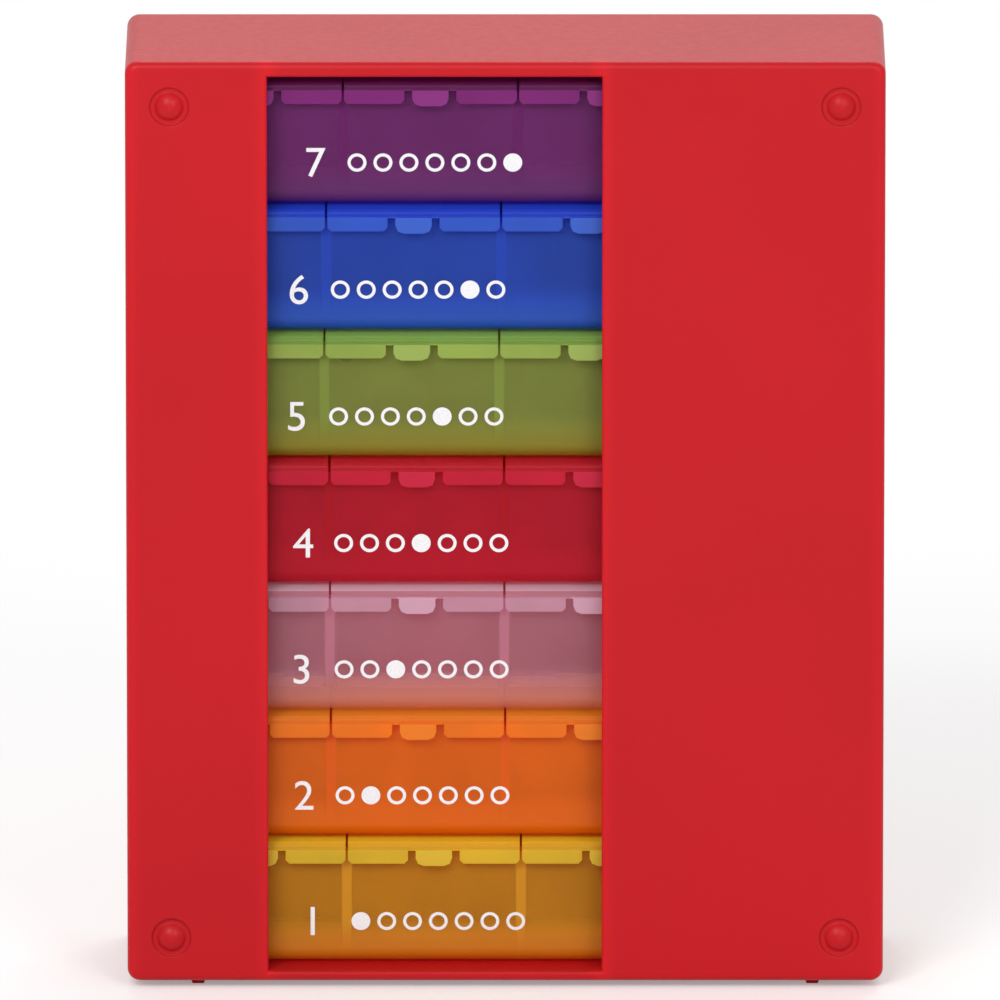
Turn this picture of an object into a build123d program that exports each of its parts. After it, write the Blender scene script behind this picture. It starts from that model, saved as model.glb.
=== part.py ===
from build123d import *
from math import asin, cos, degrees, radians, sin, tan
import os

# Pill organizer: seven lidded day trays stacked in an upright slipcase with a window.
# Sizes are in millimetres. +X is right seen from the front, the front faces -Y, +Z is up.
# The origin is on the ground under the middle of the organizer.

# What repeats
days = ("monday", "tuesday", "wednesday", "thursday", "friday", "saturday", "sunday")
times = ("morning", "noon", "evening", "night")

# Tray
compartment_pitch = 27.65
partition_wall = 1.6
tray_depth = 24.8
tray_rim = 18.6
tray_wall = 1.2
tray_floor = 1.2
tray_draft_degrees = 2.5
tray_edge_radius = 2.5
scoop_radius = 5.0

# Hinge at the back of the tray: a round bead on a slanting web, and a clip on each lid.
# Directions round the bead are counted from the back, upwards.
bead_radius = 0.9
bead_clearance = 0.05
web_wall = 0.6
web_degrees = 225.0
clip_wall = 0.55
clip_gap = 0.4
clip_width = 12.0
clip_chamfer = 0.8
clip_lip_degrees = 202.0
clip_mouth_degrees = 136.0

# Lid. A lower corner of a skirt or tab is made of flats, each turned by a step.
lid_gap = 0.35
lid_seat = 0.25
lid_thickness = 1.25
shoulder_height = 1.0
shoulder_radius = 0.6
ledge = 0.3
skirt_wall = 1.2
skirt_drop = 2.3
skirt_clearance = 0.2
skirt_corner = 0.6
skirt_corner_step_degrees = 90.0
slot_width = 1.2
tab_width = 5.8
tab_extra_drop = 0.3
tab_proud = 0.3
tab_corner = 1.3
tab_corner_step_degrees = 45.0

# Slipcase
case_wall = 2.0
case_floor = 1.65
case_corner_radius = 2.0
case_edge_radius = 1.1
window_left = 22.4
window_width = 52.9
window_top_strip = 2.4
window_chamfer = 0.3

# Room around the trays inside the slipcase
skirt_gap = 0.9
back_gap = 0.5
floor_gap = 0.15
stack_gap = 0.55
headroom = 2.1
stop_gap = 0.3
end_play = 4.3
mouth_inset = 1.2

# How far each tray stands out from the closed end, monday first
rest_shares = (0.95, 0.37, 0.34, 0.33, 0.15, 0.22, 0.84)

# Feet: domes on the front panel, each in a round recess, and nubs under the floor
dome_radius = 2.3
dome_proud = 0.8
recess_radius = 3.1
recess_depth = 0.4
dome_inset_x = 7.0
dome_inset_z = 7.2
nub_height = 1.2
nub_base = 2.6
nub_tip = 1.8
nub_inset_x = 11.2
nub_inset_y = 4.5

# How far a cut runs past the face that it opens
overrun = 1.0

# Tray and lid sizes that follow
tray_length = len(times) * compartment_pitch + partition_wall
lid_width = compartment_pitch - lid_gap
lid_bottom = tray_rim + lid_seat
lid_top = lid_bottom + lid_thickness
clip_reach = bead_radius + bead_clearance + clip_wall
bead_height = lid_top - clip_reach
stack_pitch = lid_top + stack_gap
skirt_top = lid_top - shoulder_height
skirt_width = (lid_width - tab_width - 2 * slot_width) / 2

# Slipcase sizes that follow from the stack of trays
case_width = case_wall + stop_gap + tray_length + end_play + mouth_inset
case_depth = (case_wall + skirt_gap + skirt_wall + skirt_clearance + tray_depth
              + clip_gap + 2 * clip_reach + back_gap + case_wall)
case_height = case_floor + floor_gap + len(days) * stack_pitch - stack_gap + headroom + case_wall

# Places, front to back
case_front = dome_proud / 2 - case_depth / 2
case_back = case_front + case_depth
skirt_front = case_front + case_wall + skirt_gap
skirt_back = skirt_front + skirt_wall
rim_front = skirt_back + skirt_clearance
rim_back = rim_front + tray_depth
lid_rear = rim_back + clip_gap
bead_y = lid_rear + clip_reach

# Places, left to right and bottom to top
case_left = -case_width / 2
case_bottom = nub_height
case_top = case_bottom + case_height
stop_left = case_left + case_wall + stop_gap
floor_top = case_bottom + case_floor
lowest_tray = floor_top + floor_gap


def polygon(*points):
    return make_face(Polyline(*points, close=True))


def slab(outline, middle, length):
    """A Y-Z outline made solid along X, with its middle at the given X."""
    start = Plane(origin=(middle - length / 2, 0, 0), x_dir=(0, 1, 0), z_dir=(1, 0, 0))
    return extrude(start * outline, amount=length)


def block(low, high):
    """A box between two corners."""
    size = [b - a for a, b in zip(low, high)]
    middle = [(a + b) / 2 for a, b in zip(low, high)]
    return Pos(*middle) * Box(*size)


# Tray, with the outer face of its first end wall at X zero and its underside at Z zero

def tray_section(inset, low, high):
    """The drafted front-to-back section, drawn inside the outer faces."""
    def side_inset(z):
        return inset + (tray_rim - z) * tan(radians(tray_draft_degrees))

    return polygon(
        (rim_front + side_inset(low), low),
        (rim_back - side_inset(low), low),
        (rim_back - side_inset(high), high),
        (rim_front + side_inset(high), high),
    )


def lower_corners(outline):
    return outline.vertices().group_by(Axis.Y)[0].sort_by(Axis.X)


def outer_section():
    """The tray's outside, with the hinge bead and the web that carries it along the back."""
    section = tray_section(0, 0, tray_rim)
    section = fillet(lower_corners(section)[0], tray_edge_radius)
    section = chamfer(lower_corners(section)[-1], tray_edge_radius)
    web_length = (bead_y - rim_back + tray_wall / 2) / -cos(radians(web_degrees))
    web = Rot(0, 0, web_degrees) * Pos(web_length / 2, 0) * Rectangle(web_length, web_wall)
    return section + Pos(bead_y, bead_height) * (web + Circle(bead_radius))


def hollow_section():
    """A compartment, with its floor scooped up to the front wall."""
    section = tray_section(tray_wall, tray_floor, tray_rim + overrun)
    return fillet(lower_corners(section)[0], scoop_radius)


def wall_x(index):
    """Middle of a cross wall, counted from the closed end."""
    return partition_wall / 2 + index * compartment_pitch


def compartment_x(index):
    return wall_x(index) + compartment_pitch / 2


def make_tray():
    tray = slab(outer_section(), tray_length / 2, tray_length)
    for index in range(len(times)):
        tray -= slab(hollow_section(), compartment_x(index), compartment_pitch - partition_wall)
    return tray


# Lid, with its middle at X zero, on a tray whose underside is at Z zero

def flap(middle, width, drop, depth, corner, step_degrees):
    """A flap that hangs from the front of the lid, with its lower corners rounded off in flats."""
    flats = round(90 / step_degrees)
    turns = [radians(90 * step / flats) for step in range(flats + 1)]
    rounding = [(width / 2 - corner * (1 - sin(turn)), skirt_top - drop + corner * (1 - cos(turn)))
                for turn in turns]
    right = rounding + [(width / 2, skirt_top)]
    left = [(-x, z) for x, z in reversed(right)]
    behind = Plane(origin=(middle, skirt_back, 0), x_dir=(1, 0, 0), z_dir=(0, -1, 0))
    return extrude(behind * polygon(*right, *left), amount=depth)


def clip_section():
    """A block that snaps over the bead from above, open at the bottom."""
    clip = polygon(
        (-clip_reach, -clip_reach),
        (clip_reach, -clip_reach),
        (clip_reach, clip_reach),
        (-clip_reach, clip_reach),
    )
    back_top = clip.vertices().group_by(Axis.Y)[-1].sort_by(Axis.X)[-1]
    clip = chamfer(back_top, clip_chamfer)
    lips = [radians(clip_lip_degrees), radians(clip_lip_degrees + clip_mouth_degrees)]
    reach = clip_reach / cos(radians(clip_mouth_degrees / 2)) + overrun
    mouth = polygon((0, 0), *[(reach * cos(lip), reach * sin(lip)) for lip in lips])
    return Pos(bead_y, bead_height) * (clip - mouth - Circle(bead_radius + bead_clearance))


def make_lid():
    plate_front = skirt_front + ledge
    plate = polygon(
        (plate_front, lid_bottom),
        (lid_rear, lid_bottom),
        (lid_rear, lid_top),
        (plate_front, lid_top),
    )
    shoulder = plate.vertices().group_by(Axis.Y)[-1].sort_by(Axis.X)[0]
    lid = slab(fillet(shoulder, shoulder_radius), 0, lid_width)
    # Two skirts close over the tray's front wall, with the pull tab between them
    for side in (-1, 1):
        skirt_middle = side * (lid_width - skirt_width) / 2
        lid += flap(skirt_middle, skirt_width, skirt_drop, skirt_wall,
                    skirt_corner, skirt_corner_step_degrees)
    lid += flap(0, tab_width, skirt_drop + tab_extra_drop, skirt_wall + tab_proud,
                tab_corner, tab_corner_step_degrees)
    lid += slab(clip_section(), 0, clip_width)
    return lid


# Slipcase

def make_dome():
    """A dome that stands on the floor of its recess, with its axis along Z."""
    rise = dome_proud + recess_depth
    ball_radius = (dome_radius ** 2 + rise ** 2) / (2 * rise)
    half_angle = degrees(asin(dome_radius / ball_radius))
    crown = CenterArc((0, rise - ball_radius), ball_radius, 90 - half_angle, half_angle)
    sides = Polyline((0, rise), (0, 0), (dome_radius, 0))
    half_section = make_face(Curve() + [crown, sides])
    return revolve(Plane.XZ * half_section, Axis.Z)


def make_case():
    case = block((case_left, case_front, case_bottom), (-case_left, case_back, case_top))
    case = fillet(case.edges().filter_by(Axis.Y), case_corner_radius)
    case = fillet(case.faces().sort_by(Axis.Y)[0].edges(), case_edge_radius)
    case = chamfer(case.faces().sort_by(Axis.Y)[-1].edges(), case_edge_radius)
    # The hollow is open at the right end, where the trays come out
    case -= block((case_left + case_wall, case_front + case_wall, floor_top),
                  (-case_left + overrun, case_back - case_wall, case_top - case_wall))
    window_height = case_top - window_top_strip - floor_top
    window = Plane.XZ.offset(-case_front - case_wall - overrun) * Pos(
        case_left + window_left + window_width / 2, floor_top + window_height / 2
    ) * Rectangle(window_width, window_height)
    case -= extrude(window, amount=case_wall + 2 * overrun)
    case = chamfer(case.faces().sort_by(Axis.Y)[0].inner_wires()[0].edges(), window_chamfer)
    dome = Rot(90, 0, 0) * make_dome()
    recess = Rot(90, 0, 0) * Cylinder(recess_radius, 2 * recess_depth)
    nub = loft([Rectangle(nub_tip, nub_tip), Pos(0, 0, nub_height) * Rectangle(nub_base, nub_base)])
    for side in (-1, 1):
        dome_x = side * (case_width / 2 - dome_inset_x)
        for dome_z in (case_bottom + dome_inset_z, case_top - dome_inset_z):
            case -= Pos(dome_x, case_front, dome_z) * recess
            case += Pos(dome_x, case_front + recess_depth, dome_z) * dome
        nub_x = side * (case_width / 2 - nub_inset_x)
        for nub_y in (case_front + nub_inset_y, case_back - nub_inset_y):
            case += Pos(nub_x, nub_y, 0) * nub
    return case


# Every piece in its place
pieces = {"case": make_case()}
tray = make_tray()
lid = make_lid()
for level, day in enumerate(days):
    left = stop_left + rest_shares[level] * end_play
    bottom = lowest_tray + level * stack_pitch
    pieces[f"{day}_tray"] = Pos(left, 0, bottom) * tray
    for index, time in enumerate(times):
        pieces[f"{day}_lid_{time}"] = Pos(left + compartment_x(index), 0, bottom) * lid

os.makedirs("parts", exist_ok=True)
for name, piece in pieces.items():
    export_step(piece, f"parts/{name}.step")
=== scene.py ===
import math

import bmesh
import bpy
from mathutils import Matrix, Vector


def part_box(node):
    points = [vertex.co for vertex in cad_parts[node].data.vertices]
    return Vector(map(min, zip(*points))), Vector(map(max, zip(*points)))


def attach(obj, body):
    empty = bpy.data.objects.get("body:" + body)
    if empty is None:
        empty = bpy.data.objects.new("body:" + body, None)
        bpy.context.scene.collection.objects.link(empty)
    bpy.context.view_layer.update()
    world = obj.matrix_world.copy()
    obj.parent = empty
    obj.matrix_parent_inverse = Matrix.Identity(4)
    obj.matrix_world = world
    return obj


# Pill organizer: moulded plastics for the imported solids, and printed marks on the tray fronts.
# Lengths are in metres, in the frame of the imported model: the front faces -Y and +Z is up.
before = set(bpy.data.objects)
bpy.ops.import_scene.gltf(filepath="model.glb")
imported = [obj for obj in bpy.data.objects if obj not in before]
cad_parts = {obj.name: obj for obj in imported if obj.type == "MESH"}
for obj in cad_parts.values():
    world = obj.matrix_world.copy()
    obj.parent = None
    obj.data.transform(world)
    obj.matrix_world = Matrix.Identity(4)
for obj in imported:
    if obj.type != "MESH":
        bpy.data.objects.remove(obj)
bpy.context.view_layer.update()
scene = bpy.context.scene
MM = 0.001

DAYS = ("monday", "tuesday", "wednesday", "thursday", "friday", "saturday", "sunday")
TIMES = ("morning", "noon", "evening", "night")

# Camera: straight in front and a little above, from far away
CAMERA_ELEVATION = math.radians(14.0)
CAMERA_DISTANCE = 4.5
CAMERA_AIM = Vector((-0.83, -17.1, 80.07)) * MM
CAMERA_CLIP = (0.1, 20.0)
FRAME_WIDTH = 158.2 * MM
SENSOR_WIDTH = 36.0

# Light
TRANSPARENT_BOUNCES = 32
WHITE = (1, 1, 1, 1)
WORLD_STRENGTH = 0.45
FLOOR_SIZE = 7.0
FLOOR_ALBEDO = 0.8
FLOOR_GLOW = 0.28
FLOOR_FADE = (0.16, 0.42)
# Lamps: place, width, height, watts
LAMPS = {
    "key": ((-0.42, -1.10, 0.88), 0.6, 0.6, 9.1),
    "fill": ((0.52, -1.12, 0.62), 0.5, 0.7, 4.7),
    "rim": ((0.15, 0.75, 0.95), 0.9, 0.5, 4.0),
}
LAMP_TARGET = Vector((0.0, 0.0, 0.075))

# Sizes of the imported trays
TRAY_RIM = 18.6 * MM
TRAY_DRAFT = math.radians(2.5)
COMPARTMENT_PITCH = 27.65 * MM
PARTITION_WALL = 1.6 * MM

# Colours are linear. A pair of lengths is a soft edge: all up to the first, none from the second.

# Case: its red and its shine. The front panel is lighter along its upright edges, a painted
# highlight where the edges catch light: by what factor, where these are from the left end, how far
# from them that reaches, and how deep behind the domes' tips the panel ends
CASE_RED = (0.495, 0.006, 0.0115)
CASE_SPECULAR = 0.2
PANEL_HIGHLIGHT_GAIN = 1.17
PANEL_EDGES = (0.0, 22.4 * MM, 75.3 * MM, 120.0 * MM)
PANEL_HIGHLIGHT_REACH = (0.0, 2.6 * MM)
PANEL_BACK = (3.2 * MM, 3.6 * MM)

# Trays: own colour, colour low on the front (painted red bounce light from the sill), what passes a
# wall, how cloudy are the front wall and its strips in front of cross walls and floor, and the
# share of scattered light that goes on
TRAYS = {
    "monday": ((0.98, 0.54, 0.035), (0.95, 0.34, 0.018), (0.99, 0.62, 0.12), 0.28, 0.66, 0.26),
    "tuesday": ((0.98, 0.25, 0.010), (0.98, 0.21, 0.002), (0.99, 0.50, 0.09), 0.58, 0.88, 0.42),
    "wednesday": ((0.98, 0.52, 0.66), (0.92, 0.385, 0.32), (0.995, 0.95, 0.97), 0.15, 0.44, 0.30),
    "thursday": ((0.81, 0.020, 0.065), (0.84, 0.010, 0.045), (0.95, 0.15, 0.22), 0.53, 0.70, 0.56),
    "friday": ((0.53, 0.68, 0.19), (0.55, 0.55, 0.065), (0.94, 0.84, 0.26), 0.37, 0.68, 0.56),
    "saturday": ((0.075, 0.20, 0.88), (0.055, 0.19, 0.93), (0.32, 0.50, 0.97), 0.43, 0.80, 0.56),
    "sunday": ((0.45, 0.085, 0.42), (0.44, 0.10, 0.41), (0.70, 0.28, 0.68), 0.41, 0.52, 0.56),
}
# How far the front wall reaches from the front, and a cross wall or an end from its middle. The
# floor and the back are clearer than these by a factor
FRONT_WALL = (2.0 * MM, 3.0 * MM)
CROSS_WALL = (1.0 * MM, 1.3 * MM)
INNER_CLOUD = 0.5
# Strips of the front wall, from the middle of a cross wall and from the underside, where the red
# sill's bounce light is painted, and the power that deepens the colour in front of a cross wall
CROSS_STRIP = (0.6 * MM, 0.95 * MM)
FLOOR_STRIP = (1.6 * MM, 8.0 * MM)
DEEPENING = 1.3

# Lids: colours of the skirts, of the shoulder above them (deeper, painted shade that also dims the
# highlight along it) and of the top (painted light that reaches it through the tray above), how
# cloudy skirts and shoulder are, and the share of scattered light that goes on
LIDS = {
    "monday": ((0.88, 0.72, 0.05), (0.94, 0.60, 0.022), (0.98, 0.74, 0.034), 0.86, 0.56),
    "tuesday": ((0.97, 0.345, 0.022), (0.97, 0.33, 0.019), (0.98, 0.38, 0.028), 0.86, 0.56),
    "wednesday": ((0.92, 0.70, 0.84), (0.97, 0.54, 0.66), (0.97, 0.80, 0.96), 0.42, 0.66),
    "thursday": ((0.80, 0.020, 0.077), (0.72, 0.014, 0.042), (0.80, 0.016, 0.052), 0.78, 0.56),
    "friday": ((0.53, 0.67, 0.158), (0.31, 0.53, 0.105), (0.39, 0.68, 0.110), 0.84, 0.56),
    "saturday": ((0.068, 0.20, 0.81), (0.024, 0.093, 0.80), (0.026, 0.105, 0.92), 0.84, 0.56),
    "sunday": ((0.45, 0.047, 0.385), (0.28, 0.032, 0.20), (0.40, 0.036, 0.32), 0.72, 0.56),
}
# Top and shoulder, from the top down. The top and the pull tab are halfway from the others to fully
# cloudy, and the top has its own share of light that goes on; both make the top scatter more of its
# painted light
LID_TOP = (0.02 * MM, 0.12 * MM)
LID_SHOULDER = (0.9 * MM, 1.1 * MM)
LID_TOP_ONWARD = 0.25
# Pull tab: the power that makes it paler than the skirts, partly for its thicker plastic and partly
# as a painted highlight for the light it catches, and how far it reaches from the lid's middle and
# from its front
TAB_PALING = 0.88
TAB_SIDE = (2.95 * MM, 3.3 * MM)
TAB_BACK = (1.6 * MM, 1.9 * MM)

# Noise: the span of it that is stretched, and for each use its features per metre, its detail, and
# the lowest and highest shade or roughness that it gives
NOISE_SPAN = (0.3, 0.7)
CASE_MOTTLE = (22.0, 2.0, 0.96, 1.05)
CASE_ROUGHNESS = (700.0, 2.0, 0.36, 0.41)
FROST_MOTTLE = (90.0, 3.0, 0.93, 1.06)
FROST_ROUGHNESS = (900.0, 2.0, 0.34, 0.44)
INK_MOTTLE = (3500.0, 3.0, 0.88, 1.03)
INK_ROUGHNESS = (1500.0, 2.0, 0.45, 0.6)
# Relief: radius of the softened edges, features of the grain per metre, and its height
CASE_RELIEF = (0.45 * MM, 3200.0, 0.003 * MM)
FROST_RELIEF = (0.3 * MM, 1800.0, 0.0015 * MM)
EDGE_SAMPLES = 6
GRAIN_DETAIL = 3.0

# Printed marks on the tray fronts: the day's number, which starts to the left of the second
# compartment's middle, and one round mark for each day of the week
INK_WHITE = (0.86, 0.85, 0.87)
INK_GAP = 0.01 * MM
INK_THICKNESS = 0.03 * MM
SECOND_MIDDLE = 1.5 * COMPARTMENT_PITCH
PRINT_LEFT = 19.6 * MM
PRINT_HEIGHT = 6.9 * MM
NUMERAL_SIZE = 6.9 * MM
NUMERAL_STEPS = 5
PIP_START = 8.0 * MM
PIP_PITCH = 4.1 * MM
PIP_RADIUS = 1.5 * MM
PIP_LINE = 0.5 * MM
PIP_SIDES = 32


def feed(tree, socket, value):
    """Links an input to another socket, or sets its value."""
    if isinstance(value, bpy.types.NodeSocket):
        tree.links.new(value, socket)
    else:
        socket.default_value = value


def add(tree, kind, settings=None, **sockets):
    """A new node, with its properties and the values or links of its inputs."""
    node = tree.nodes.new(kind)
    for key, value in (settings or {}).items():
        setattr(node, key, value)
    for key, value in sockets.items():
        feed(tree, node.inputs[key.replace("_", " ")], value)
    return node


def empty_tree(owner):
    owner.use_nodes = True
    owner.node_tree.nodes.clear()
    return owner.node_tree


def show(tree, shader, kind="ShaderNodeOutputMaterial"):
    """Makes a shader the surface of its tree."""
    add(tree, kind, Surface=shader)


def math_node(tree, operation, *values):
    node = add(tree, "ShaderNodeMath", {"operation": operation})
    for socket, value in zip(node.inputs, values):
        feed(tree, socket, value)
    return node.outputs["Value"]


def object_place(tree):
    return add(tree, "ShaderNodeTexCoord").outputs["Object"]


def axes(tree):
    return add(tree, "ShaderNodeSeparateXYZ", Vector=object_place(tree)).outputs


def ramp(tree, value, start, end):
    """Zero up to the start, one from the end on, and smooth between them."""
    node = add(tree, "ShaderNodeMapRange", {"interpolation_type": "SMOOTHSTEP"}, Value=value,
               From_Min=start, From_Max=end)
    return node.outputs["Result"]


def between(tree, share, low, high):
    """The low number where the share is zero, and the high one where it is one."""
    return add(tree, "ShaderNodeMapRange", Value=share, To_Min=low, To_Max=high).outputs["Result"]


def scaled(tree, color, factor):
    node = add(tree, "ShaderNodeVectorMath", {"operation": "SCALE"}, Vector=color, Scale=factor)
    return node.outputs["Vector"]


def blended(tree, share, first, second):
    """The first colour where the share is zero, and the second where it is one."""
    node = add(tree, "ShaderNodeMix", {"data_type": "VECTOR"})
    inputs = {socket.identifier: socket for socket in node.inputs}
    feed(tree, inputs["Factor_Float"], share)
    feed(tree, inputs["A_Vector"], first)
    feed(tree, inputs["B_Vector"], second)
    return {socket.identifier: socket for socket in node.outputs}["Result_Vector"]


def mixed_shader(tree, share, first, second):
    """The first shader where the share is zero, and the second where it is one."""
    node = add(tree, "ShaderNodeMixShader", Fac=share)
    tree.links.new(first, node.inputs[1])
    tree.links.new(second, node.inputs[2])
    return node.outputs["Shader"]


def noise(tree, scale, detail):
    """Noise fixed to the piece, with its scale in features per metre."""
    node = add(tree, "ShaderNodeTexNoise", Vector=object_place(tree), Scale=scale, Detail=detail)
    return node.outputs["Fac"]


def spread(tree, scale, detail, low, high):
    """Noise stretched to run between two numbers."""
    node = add(tree, "ShaderNodeMapRange", Value=noise(tree, scale, detail),
               From_Min=NOISE_SPAN[0], From_Max=NOISE_SPAN[1], To_Min=low, To_Max=high)
    return node.outputs["Result"]


def worked_normal(tree, edge_radius, grain_scale, grain_height):
    """Softened edges with a fine moulded grain on top."""
    edges = add(tree, "ShaderNodeBevel", {"samples": EDGE_SAMPLES}, Radius=edge_radius)
    bump = add(tree, "ShaderNodeBump", Strength=1.0, Distance=grain_height,
               Height=noise(tree, grain_scale, GRAIN_DETAIL), Normal=edges.outputs["Normal"])
    return bump.outputs["Normal"]


def behind(tree, place, front, edge):
    """One from a front face to a soft edge behind it."""
    return ramp(tree, place["Y"], front + edge[1], front + edge[0])


def under(tree, place, top, edge):
    """One from a top face to a soft edge below it."""
    return ramp(tree, place["Z"], top - edge[1], top - edge[0])


def over(tree, place, underside, edge):
    """One from an underside to a soft edge above it."""
    return ramp(tree, place["Z"], underside + edge[1], underside + edge[0])


def beside_row(tree, place, first, edge):
    """One beside each of a row of places along X, one place to a compartment."""
    along = math_node(tree, "SUBTRACT", place["X"], first)
    away = math_node(tree, "PINGPONG", along, COMPARTMENT_PITCH / 2)
    return ramp(tree, away, edge[1], edge[0])


def panel_edges(tree, corner):
    """Where the painted highlight goes: one along the upright edges of the front panel and of its
    window, and zero away from them.
    """
    place = axes(tree)
    total = 0.0
    for edge in PANEL_EDGES:
        across = math_node(tree, "SUBTRACT", place["X"], corner.x + edge)
        away = math_node(tree, "ABSOLUTE", across)
        near = ramp(tree, away, PANEL_HIGHLIGHT_REACH[1], PANEL_HIGHLIGHT_REACH[0])
        total = math_node(tree, "MAXIMUM", near, total)
    return math_node(tree, "MULTIPLY", total, behind(tree, place, corner.y, PANEL_BACK))


def case_plastic():
    material = bpy.data.materials.new("case_plastic")
    tree = empty_tree(material)
    corner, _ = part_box("case")
    red = scaled(tree, CASE_RED, spread(tree, *CASE_MOTTLE))
    # The front panel's upright edges get a painted highlight
    highlight_gain = between(tree, panel_edges(tree, corner), 1.0, PANEL_HIGHLIGHT_GAIN)
    surface = add(
        tree, "ShaderNodeBsdfPrincipled",
        Base_Color=scaled(tree, red, highlight_gain),
        Roughness=spread(tree, *CASE_ROUGHNESS),
        Normal=worked_normal(tree, *CASE_RELIEF),
        Specular_IOR_Level=CASE_SPECULAR,
    )
    show(tree, surface.outputs["BSDF"])
    return material


def tray_masks(tree, corner):
    """One on a tray's walls but the back, one on its front at cross walls, and one low on that
    front, where the red sill's bounce light is painted.
    """
    place = axes(tree)
    first_wall = corner.x + PARTITION_WALL / 2
    front = behind(tree, place, corner.y, FRONT_WALL)
    upright = math_node(tree, "MAXIMUM", front, beside_row(tree, place, first_wall, CROSS_WALL))
    strips = math_node(tree, "MULTIPLY", front, beside_row(tree, place, first_wall, CROSS_STRIP))
    low = math_node(tree, "MULTIPLY", front, over(tree, place, corner.z, FLOOR_STRIP))
    return upright, strips, low


def lid_masks(tree, near, far):
    """One on top of a day's lids and one down to their skirts, for painted light and painted shade,
    and one on their pull tabs.
    """
    place = axes(tree)
    top = under(tree, place, far.z, LID_TOP)
    above = under(tree, place, far.z, LID_SHOULDER)
    below = math_node(tree, "SUBTRACT", 1.0, above)
    middle = beside_row(tree, place, (near.x + far.x) / 2, TAB_SIDE)
    front = behind(tree, place, near.y, TAB_BACK)
    tab = math_node(tree, "MULTIPLY", math_node(tree, "MULTIPLY", middle, below), front)
    return top, above, tab


def frosted(tree, color, passed, cloud, onward):
    """Frosted plastic: some light passes, tinted, and both faces of a wall scatter the rest."""
    normal = worked_normal(tree, *FROST_RELIEF)
    back = add(
        tree, "ShaderNodeBsdfPrincipled",
        Base_Color=color,
        Roughness=spread(tree, *FROST_ROUGHNESS),
        Normal=normal,
    )
    through = add(tree, "ShaderNodeBsdfTranslucent", Color=color, Normal=normal)
    scatter = mixed_shader(tree, onward, back.outputs["BSDF"], through.outputs["BSDF"])
    face_tint = [math.sqrt(part) for part in passed] + [1.0]
    clear = add(tree, "ShaderNodeBsdfTransparent", Color=face_tint)
    show(tree, mixed_shader(tree, cloud, clear.outputs["BSDF"], scatter))


def tray_plastic(day):
    own, sill_bounce_color, passed, cloud, strip_cloud, onward = TRAYS[day]
    material = bpy.data.materials.new(f"{day}_tray_plastic")
    tree = empty_tree(material)
    corner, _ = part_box(f"{day}_tray")
    upright, strips, low = tray_masks(tree, corner)
    deep = [max(own) * (part / max(own)) ** DEEPENING for part in own]
    color = scaled(tree, own, spread(tree, *FROST_MOTTLE))
    # Low on the front the colour is painted red bounce light from the sill, and the cloudier strip
    # there scatters more of it
    color = blended(tree, low, blended(tree, strips, color, deep), sill_bounce_color)
    plain = between(tree, upright, INNER_CLOUD * cloud, cloud)
    density = between(tree, math_node(tree, "MAXIMUM", strips, low), plain, strip_cloud)
    frosted(tree, color, passed, density, onward)
    return material


def lid_plastic(day):
    own, painted_shoulder_shade, painted_top_light, cloud, onward = LIDS[day]
    _, _, passed, *_ = TRAYS[day]
    material = bpy.data.materials.new(f"{day}_lid_plastic")
    tree = empty_tree(material)
    near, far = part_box(f"{day}_lid_{TIMES[0]}")
    top, above, tab = lid_masks(tree, near, far)
    color = scaled(tree, own, spread(tree, *FROST_MOTTLE))
    # The pull tab is paler, partly as a painted highlight
    color = blended(tree, tab, color, [part ** TAB_PALING for part in own])
    # The shoulder gets painted shade and the top painted light
    color = blended(tree, top, blended(tree, above, color, painted_shoulder_shade), painted_top_light)
    density = between(tree, math_node(tree, "MAXIMUM", top, tab), cloud, (1 + cloud) / 2)
    frosted(tree, color, passed, density, between(tree, top, onward, LID_TOP_ONWARD))
    return material


def white_ink():
    material = bpy.data.materials.new("white_ink")
    tree = empty_tree(material)
    surface = add(
        tree, "ShaderNodeBsdfPrincipled",
        Base_Color=scaled(tree, INK_WHITE, spread(tree, *INK_MOTTLE)),
        Roughness=spread(tree, *INK_ROUGHNESS),
    )
    show(tree, surface.outputs["BSDF"])
    return material


def dress(node, material):
    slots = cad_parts[node].data.materials
    slots.clear()
    slots.append(material)


def numeral_mesh(text):
    """The outline of one numeral, filled and flat in X-Y."""
    curve = bpy.data.curves.new("numeral", "FONT")
    curve.body = text
    curve.size = NUMERAL_SIZE
    curve.resolution_u = NUMERAL_STEPS
    curve.fill_mode = "FRONT"
    holder = bpy.data.objects.new("numeral", curve)
    scene.collection.objects.link(holder)
    bpy.context.view_layer.update()
    evaluated = holder.evaluated_get(bpy.context.evaluated_depsgraph_get())
    mesh = bpy.data.meshes.new_from_object(evaluated)
    bpy.data.objects.remove(holder)
    bpy.data.curves.remove(curve)
    return mesh


def ring_points(middle, radius):
    turns = [2 * math.pi * step / PIP_SIDES for step in range(PIP_SIDES)]
    return [(middle.x + radius * math.cos(turn), middle.y + radius * math.sin(turn), 0)
            for turn in turns]


def add_pip(shape, middle, filled):
    """A round mark: a disc, or a ring."""
    outer = [shape.verts.new(point) for point in ring_points(middle, PIP_RADIUS)]
    if filled:
        shape.faces.new(outer)
        return
    inner = [shape.verts.new(point) for point in ring_points(middle, PIP_RADIUS - PIP_LINE)]
    for step in range(PIP_SIDES):
        after = (step + 1) % PIP_SIDES
        shape.faces.new((outer[step], outer[after], inner[after], inner[step]))


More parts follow.
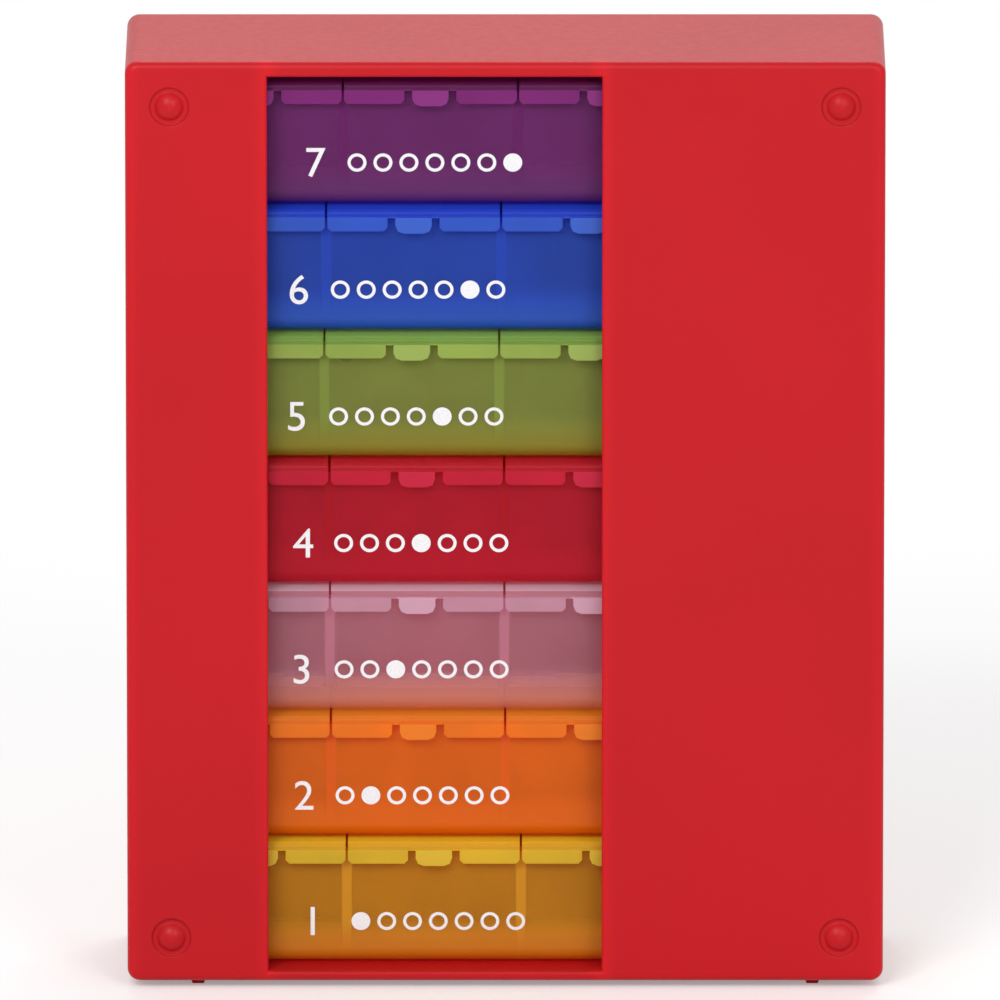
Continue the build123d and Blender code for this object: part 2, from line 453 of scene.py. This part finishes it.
def print_shape(number):
    """A numeral and a row of round marks, in X-Y about Y zero, as thick as the ink along Z."""
    numeral = numeral_mesh(str(number))
    shape = bmesh.new()
    shape.from_mesh(numeral)
    bpy.data.meshes.remove(numeral)
    bmesh.ops.remove_doubles(shape, verts=shape.verts, dist=INK_GAP)
    low = Vector([min(v.co[axis] for v in shape.verts) for axis in range(3)])
    high = Vector([max(v.co[axis] for v in shape.verts) for axis in range(3)])
    bmesh.ops.translate(shape, verts=shape.verts, vec=(-low.x, -(low.y + high.y) / 2, 0))
    for index in range(len(DAYS)):
        add_pip(shape, Vector((PIP_START + index * PIP_PITCH, 0)), index + 1 == number)
    bmesh.ops.recalc_face_normals(shape, faces=shape.faces)
    for face in shape.faces:
        if face.normal.z < 0:
            face.normal_flip()
    grown = bmesh.ops.extrude_face_region(shape, geom=shape.faces[:])
    raised = [item for item in grown["geom"] if isinstance(item, bmesh.types.BMVert)]
    bmesh.ops.translate(shape, verts=raised, vec=(0, 0, INK_THICKNESS))
    bmesh.ops.recalc_face_normals(shape, faces=shape.faces)
    return shape


def print_marks(day, ink):
    """The day's number and a row of seven round marks, printed on the front of its tray."""
    shape = print_shape(DAYS.index(day) + 1)
    tray_low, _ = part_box(f"{day}_tray")
    lean = (TRAY_RIM - PRINT_HEIGHT) * math.tan(TRAY_DRAFT)
    outward = Vector((0, -math.cos(TRAY_DRAFT), -math.sin(TRAY_DRAFT)))
    upward = Vector((0, -math.sin(TRAY_DRAFT), math.cos(TRAY_DRAFT)))
    left = tray_low.x + PARTITION_WALL / 2 + SECOND_MIDDLE - PRINT_LEFT
    place = Vector((left, tray_low.y + lean, tray_low.z + PRINT_HEIGHT)) + outward * INK_GAP
    turn = Matrix((Vector((1, 0, 0)), upward, outward)).transposed().to_4x4()
    bmesh.ops.transform(shape, verts=shape.verts, matrix=Matrix.Translation(place) @ turn)
    mesh = bpy.data.meshes.new(f"{day}_print")
    shape.to_mesh(mesh)
    shape.free()
    mesh.materials.append(ink)
    marks = bpy.data.objects.new(f"{day}_print", mesh)
    scene.collection.objects.link(marks)
    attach(marks, f"{day}_tray")


def seen_directly(tree):
    """One for rays that show the backdrop itself, straight or through gloss and clear plastic."""
    path = add(tree, "ShaderNodeLightPath").outputs
    seen = math_node(tree, "MAXIMUM", path["Is Camera Ray"], path["Is Glossy Ray"])
    return math_node(tree, "MAXIMUM", seen, path["Is Transmission Ray"])


def make_world():
    world = bpy.data.worlds.new("studio")
    scene.world = world
    tree = empty_tree(world)
    strength = between(tree, seen_directly(tree), WORLD_STRENGTH, 1.0)
    background = add(tree, "ShaderNodeBackground", Color=WHITE, Strength=strength)
    show(tree, background.outputs["Background"], "ShaderNodeOutputWorld")


def floor_white():
    """Pale paint that keeps the soft shadow close to the object and fades to white away from it."""
    material = bpy.data.materials.new("floor_white")
    tree = empty_tree(material)
    direct = seen_directly(tree)
    paint = add(tree, "ShaderNodeBsdfDiffuse", Color=(FLOOR_ALBEDO, FLOOR_ALBEDO, FLOOR_ALBEDO, 1))
    glow_strength = between(tree, direct, 0.0, FLOOR_GLOW)
    glow = add(tree, "ShaderNodeEmission", Color=WHITE, Strength=glow_strength)
    near = add(tree, "ShaderNodeAddShader")
    tree.links.new(paint.outputs["BSDF"], near.inputs[0])
    tree.links.new(glow.outputs["Emission"], near.inputs[1])
    white = add(tree, "ShaderNodeEmission", Color=WHITE, Strength=1.0)
    distance = add(tree, "ShaderNodeVectorMath", {"operation": "LENGTH"}, Vector=object_place(tree))
    fade = ramp(tree, distance.outputs["Value"], *FLOOR_FADE)
    far = math_node(tree, "MULTIPLY", fade, direct)
    show(tree, mixed_shader(tree, far, near.outputs["Shader"], white.outputs["Emission"]))
    return material


def make_floor():
    mesh = bpy.data.meshes.new("floor")
    half = FLOOR_SIZE / 2
    corners = [(-half, -half, 0), (half, -half, 0), (half, half, 0), (-half, half, 0)]
    mesh.from_pydata(corners, [], [(0, 1, 2, 3)])
    floor = bpy.data.objects.new("floor", mesh)
    scene.collection.objects.link(floor)
    mesh.materials.append(floor_white())


def make_lamps():
    for name, (place, width, height, watts) in LAMPS.items():
        lamp = bpy.data.lights.new(name, "AREA")
        lamp.shape = "RECTANGLE"
        lamp.size, lamp.size_y = width, height
        lamp.energy = watts
        holder = bpy.data.objects.new(name, lamp)
        holder.location = place
        holder.rotation_euler = (LAMP_TARGET - Vector(place)).to_track_quat("-Z", "Y").to_euler()
        scene.collection.objects.link(holder)


def make_camera():
    camera = bpy.data.cameras.new("camera")
    camera.sensor_width = SENSOR_WIDTH
    camera.lens = SENSOR_WIDTH * CAMERA_DISTANCE / FRAME_WIDTH
    camera.clip_start, camera.clip_end = CAMERA_CLIP
    holder = bpy.data.objects.new("camera", camera)
    back = Vector((0, -math.cos(CAMERA_ELEVATION), math.sin(CAMERA_ELEVATION)))
    holder.location = CAMERA_AIM + back * CAMERA_DISTANCE
    holder.rotation_euler = (math.pi / 2 - CAMERA_ELEVATION, 0, 0)
    scene.collection.objects.link(holder)
    scene.camera = holder


scene.view_settings.view_transform = "Standard"
scene.cycles.transparent_max_bounces = TRANSPARENT_BOUNCES
make_camera()
make_world()
make_floor()
make_lamps()

dress("case", case_plastic())
ink = white_ink()
for day in DAYS:
    dress(f"{day}_tray", tray_plastic(day))
    day_lids = lid_plastic(day)
    for time in TIMES:
        dress(f"{day}_lid_{time}", day_lids)
    print_marks(day, ink)
